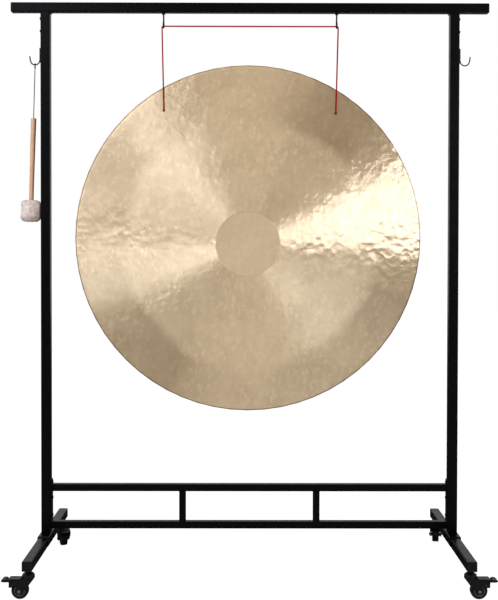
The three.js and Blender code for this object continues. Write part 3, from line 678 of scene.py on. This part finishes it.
def add_cord_run(material):
    """The part of the cord that lies over the two hooks."""
    bend_steps = 8
    left_bend = []
    for i in range(bend_steps + 1):
        a = math.pi - math.pi / 2 * i / bend_steps
        left_bend.append((-HOOK_X + CORD_OVER_WIRE * math.cos(a), MID_Y,
                          HOOK_WIRE_Z + CORD_OVER_WIRE * math.sin(a)))
    shares = (-0.75, -0.5, -0.25, 0, 0.25, 0.5, 0.75)
    between = [(share * HOOK_X, MID_Y, HOOK_WIRE_Z + CORD_OVER_WIRE) for share in shares]
    right_bend = [(-x, y, z) for x, y, z in reversed(left_bend)]
    bm = bmesh.new()
    add_tube(bm, smooth_route(left_bend + between + right_bend), CORD_RADIUS)
    run = new_object("red_cord_run", finish_mesh(bm, "red_cord_run"), "stand", material)
    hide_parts("cord_over_hooks")


def add_cord_leg(side, name, material):
    """From a hook down to the gong's hole, through it, and into a knot at the back."""
    end = GONG_MIDDLE + hole_from_middle(side)
    end.y = MID_Y
    tuck = 0.0005
    top = Vector((side * (HOOK_X + CORD_OVER_WIRE), MID_Y, HOOK_WIRE_Z - tuck))
    down = (end - top).normalized()
    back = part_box("gong_cord_" + name)[1].y
    knot_front = back - 0.011
    cord_end = back - 0.006
    knot_middle_y = back - 0.0052
    points = [top]
    points += [top.lerp(end, share) for share in (0.25, 0.5, 0.75)]
    points += [end - down * CORD_BEND, end - down * (CORD_BEND / 2)]
    points.append(Vector((end.x, MID_Y + CORD_BENDS_BY, end.z - CORD_SINKS_BY)))
    points.append(Vector((end.x, knot_front, end.z - CORD_SINKS_BY)))
    points.append(Vector((end.x, cord_end, end.z)))
    bm = bmesh.new()
    add_tube(bm, smooth_route(points), CORD_RADIUS)
    knot_middle = Vector((end.x, knot_middle_y, end.z))
    knot = [knot_middle + p for p in knot_route(width=0.0013, depth=0.0024, height=0.0013)]
    add_tube(bm, knot, CORD_KNOT_RADIUS, sides=10)
    leg = new_object("red_cord_leg_" + name, finish_mesh(bm, "red_cord_leg_" + name),
                     "gong", material)
    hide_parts("gong_cord_" + name)


# Mallet

def on_mallet(x, y, z):
    """Turns a place measured down the mallet's line into a place in the scene."""
    return MALLET_HANG + MALLET_TURN @ Vector((x, y, z))


def add_string(material):
    """A loop over the hook, a knot, and three strands twisted together down to the handle."""
    bm = bmesh.new()
    loop_height = STRING_LOOP_RADIUS * STRING_LOOP_STRETCH
    drop = loop_height - STRING / 2 * STRING_LOOP_STRETCH - MALLET_HOOK_WIRE / 2 - GAP_TO_WIRE
    loop_steps = 32
    loop = []
    for i in range(loop_steps + 1):
        a = math.pi + 2 * math.pi * i / loop_steps
        loop.append(on_mallet(0, STRING_LOOP_RADIUS * math.sin(a), -drop + loop_height * math.cos(a)))
    add_tube(bm, loop, STRING_LOOP_TUBE_RADIUS, sides=10)

    knot_z = -drop - loop_height - STRING_KNOT_DROP
    knot = knot_route(width=0.0006, depth=0.0016, height=0.0007)
    add_tube(bm, [on_mallet(p.x, p.y, knot_z + p.z) for p in knot], STRING_KNOT_TUBE_RADIUS, sides=8)

    for strand in range(STRANDS):
        route = []
        for i in range(STRAND_STEPS + 1):
            z = -STRING_LENGTH * i / STRAND_STEPS
            a = 2 * math.pi * (z / STRING_TWIST + strand / STRANDS)
            route.append(on_mallet(STRAND_OUT * math.cos(a), STRAND_OUT * math.sin(a), knot_z + z))
        add_tube(bm, route, STRAND_RADIUS, sides=7)
    piece = new_object("mallet_string_twisted", finish_mesh(bm, "mallet_string_twisted"),
                       "mallet_line", material)
    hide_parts("mallet_string")


def head_outline():
    """Half of the head's section, as radius and height from its top: flat ends and rounded edges."""
    steps = 6
    quarter = [math.pi / 2 * i / steps for i in range(steps + 1)]
    outline = [(HEAD_HOLE, 0.0), (HEAD_RADIUS - HEAD_CORNER, 0.0)]
    for a in quarter[1:]:
        in_from_side = HEAD_CORNER * (1 - math.sin(a))
        below_top = HEAD_CORNER * (1 - math.cos(a))
        outline.append((HEAD_RADIUS - in_from_side, -below_top))
    for a in quarter:
        in_from_side = HEAD_CORNER * (1 - math.cos(a))
        above_bottom = HEAD_CORNER * (1 - math.sin(a))
        outline.append((HEAD_RADIUS - in_from_side, -HEAD_HEIGHT + above_bottom))
    outline.append((HEAD_BOTTOM_HOLE, -HEAD_HEIGHT))
    return outline


def any_way(reach):
    return Vector([random.uniform(-reach, reach) for _ in range(3)])


def add_tuft(bm, face):
    """A small three-sided spike that stands near the middle of the face and leans any way."""
    spot = face.calc_center_median() + any_way(TUFT_STRAY)
    lean = (face.normal + any_way(TUFT_LEAN)).normalized()
    side = lean.orthogonal().normalized() * random.uniform(*TUFT_WIDTHS)
    other = lean.cross(side)
    tall = random.uniform(*TUFT_HEIGHTS)
    root = spot - lean * TUFT_ROOT
    base = [bm.verts.new(root + side * math.cos(a) + other * math.sin(a)) for a in TUFT_CORNERS]
    tip = bm.verts.new(spot + lean * tall)
    for k in range(3):
        bm.faces.new((base[k], base[(k + 1) % 3], tip))


def add_head(material):
    """Fleece cover: a drum with rounded edges and tufts of pile all over."""
    random.seed(4)
    top = -STRING_TO_HANDLE - HANDLE_LENGTH
    bm = bmesh.new()
    rings = []
    for r, z in head_outline():
        rings.append([bm.verts.new(on_mallet(r * math.cos(a), r * math.sin(a), top + z))
                      for a in turns(HEAD_SIDES)])
    for one, two in zip(rings, rings[1:]):
        for k in range(HEAD_SIDES):
            following = (k + 1) % HEAD_SIDES
            bm.faces.new((one[k], one[following], two[following], two[k]))
    drum_faces = HEAD_SIDES * (len(rings) - 1)
    bm.faces.new(rings[-1])
    bm.faces.new(rings[0])
    bmesh.ops.recalc_face_normals(bm, faces=bm.faces)
    for _ in range(TUFTS):
        add_tuft(bm, random.choice(bm.faces[:drum_faces]))
    piece = new_object("mallet_fleece", finish_mesh(bm, "mallet_fleece"), "mallet", material)
    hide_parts("mallet_head")


# Stage

FLOOR_TONE = 0.8
FLOOR_TONE_BEHIND = 0.06
FLOOR_SHADOW_TONE = (0.3, 0.3, 0.3)
FLOOR_GLOW = 0.88

WORLD_LIGHT = 0.45
WORLD_COLOR = (0.98, 0.99, 1)
ROOM_FRONT_LOW = (0.44, 0.41, 0.38)
ROOM_FRONT_HIGH = (0.84, 0.785, 0.73)

LAMP_COOL = (0.9, 1.0, 1.2)
LAMP_WHITE = (1, 1, 1)


def add_floor():
    """White with soft shadows to the camera, pale to other rays, and dark at the back in reflections."""
    mesh = bpy.data.meshes.new("floor")
    left, right, front, back = -9, 9, -6, 12
    corners = [(left, front, 0), (right, front, 0), (right, back, 0), (left, back, 0)]
    mesh.from_pydata(corners, [], [(0, 1, 2, 3)])
    floor = bpy.data.objects.new("floor", mesh)
    bpy.context.collection.objects.link(floor)
    material = bpy.data.materials.new("floor_white")
    material.use_nodes = True
    tree = Tree(material.node_tree)

    path = tree.add("ShaderNodeLightPath")
    place = tree.add("ShaderNodeTexCoord")
    backwards = tree.part(place.outputs["Object"], "Y")
    behind = tree.grey(backwards, start=-0.35, end=0.0, first=FLOOR_TONE, last=FLOOR_TONE_BEHIND)
    tone = tree.mix(path.outputs["Is Glossy Ray"], FLOOR_TONE, behind, "FLOAT")
    plain = tree.add("ShaderNodeBsdfDiffuse")
    tree.put(tone, plain.inputs["Color"])

    faint = tree.add("ShaderNodeBsdfDiffuse", Color=(*FLOOR_SHADOW_TONE, 1))
    glow = tree.add("ShaderNodeEmission", Strength=FLOOR_GLOW)
    shown = tree.add("ShaderNodeAddShader")
    tree.put(faint.outputs[0], shown.inputs[0])
    tree.put(glow.outputs[0], shown.inputs[1])

    out = tree.add("ShaderNodeOutputMaterial")
    seen = tree.mix_shaders(path.outputs["Is Camera Ray"], plain.outputs[0], shown.outputs[0])
    tree.put(seen, out.inputs["Surface"])
    mesh.materials.append(material)


def room_color(tree):
    """What is mirrored: white at the back of the room, and grey at its front, paler higher up."""
    way = tree.add("ShaderNodeTexCoord").outputs["Generated"]
    upwards = tree.grey(tree.part(way, "Z"), start=-0.1, end=0.35)
    backwards = tree.grey(tree.part(way, "Y"), start=-0.16, end=0.12)
    front = tree.mix(upwards, (*ROOM_FRONT_LOW, 1), (*ROOM_FRONT_HIGH, 1))
    return tree.mix(backwards, front, (*WHITE, 1))


def add_world():
    """White to the camera, the room's colours where it is mirrored, and a plain soft light otherwise."""
    world = bpy.data.worlds.new("studio")
    bpy.context.scene.world = world
    world.use_nodes = True
    tree = Tree(world.node_tree)
    light = tree.add("ShaderNodeBackground", Color=(*WORLD_COLOR, 1), Strength=WORLD_LIGHT)
    white = tree.add("ShaderNodeBackground", Color=(*WHITE, 1), Strength=1.0)
    room = tree.add("ShaderNodeBackground")
    tree.put(room_color(tree), room.inputs["Color"])

    path = tree.add("ShaderNodeLightPath")
    by_camera = path.outputs["Is Camera Ray"]
    camera_or_gloss = tree.maths("MAXIMUM", by_camera, path.outputs["Is Glossy Ray"])
    shown = tree.maths("MAXIMUM", camera_or_gloss, path.outputs["Is Transmission Ray"])
    view = tree.mix_shaders(by_camera, room.outputs[0], white.outputs[0])
    out = tree.add("ShaderNodeOutputWorld")
    tree.put(tree.mix_shaders(shown, light.outputs[0], view), out.inputs["Surface"])


def area_light(name, place, aim, size, power, color):
    data = bpy.data.lights.new(name, "AREA")
    data.shape = "RECTANGLE"
    data.size, data.size_y = size
    data.energy = power
    data.color = color
    lamp = bpy.data.objects.new(name, data)
    bpy.context.collection.objects.link(lamp)
    lamp.location = place
    lamp.rotation_euler = (Vector(aim) - Vector(place)).to_track_quat("-Z", "Y").to_euler()


def add_lights():
    gong = (0, MID_Y, 1.05)
    left_upright = (-0.6, 0, 1.2)
    area_light("right_strip", (1.9, -2.2, 1.50), gong, size=(0.4, 1.05), power=31, color=LAMP_COOL)
    area_light("left_box", (-1.9, -2.4, 2.05), gong, size=(1.5, 1.6), power=19, color=LAMP_COOL)
    area_light("left_high", (-1.3, -2.4, 2.75), gong, size=(1.0, 1.0), power=11, color=LAMP_COOL)
    area_light("left_low", (-2.0, -2.3, 0.72), gong, size=(0.5, 1.0), power=5, color=LAMP_COOL)
    area_light("left_side", (-3.4, -0.9, 1.5), left_upright, size=(1.2, 1.8), power=15, color=LAMP_WHITE)
    area_light("top", (0, -0.6, 4.0), gong, size=(2.4, 1.6), power=26, color=LAMP_WHITE)


# Looks of the part's own solids

def dress():
    """Paints the solids by their slots. A slot of a soft piece has no look here."""
    looks = {
        "frame_paint": powder_coat(),
        "black_plastic": black_plastic("black_plastic", rough_low=0.38, rough_high=0.5),
        "black_steel": plated("black_steel", BLACK_PLATING, rough_low=0.3, rough_high=0.45),
        # The gong hooks have this slot, and their plating is nearly black
        "zinc": plated("zinc", BLACK_PLATING, rough_low=0.3, rough_high=0.45),
        "dark_zinc": plated("dark_zinc", DARK_ZINC, rough_low=0.3, rough_high=0.4),
        "tyre_rubber": black_plastic("tyre_rubber", rough_low=0.6, rough_high=0.75),
        "gong_bronze": turned_gong(),
        "beech": wood(),
    }
    for entry in frame["record"]["subparts"]:
        node = entry["node"]
        slot = entry["material_slot"]
        material = hub_plastic(node) if slot == "hub_plastic" else looks.get(slot)
        if material:
            mesh = nodes[node].data
            mesh.materials.clear()
            mesh.materials.append(material)


add_camera()
red_cord = braided("red_cord", RED_DARK, RED, per_metre=900)
add_cord_run(red_cord)
add_cord_leg(-1, "left", red_cord)
add_cord_leg(1, "right", red_cord)
add_string(braided("grey_string", STRING_DARK, STRING_GREY, per_metre=1200))
add_head(fleece())
dress()
add_floor()
add_world()
add_lights()
bpy.context.scene.view_settings.view_transform = "Standard"
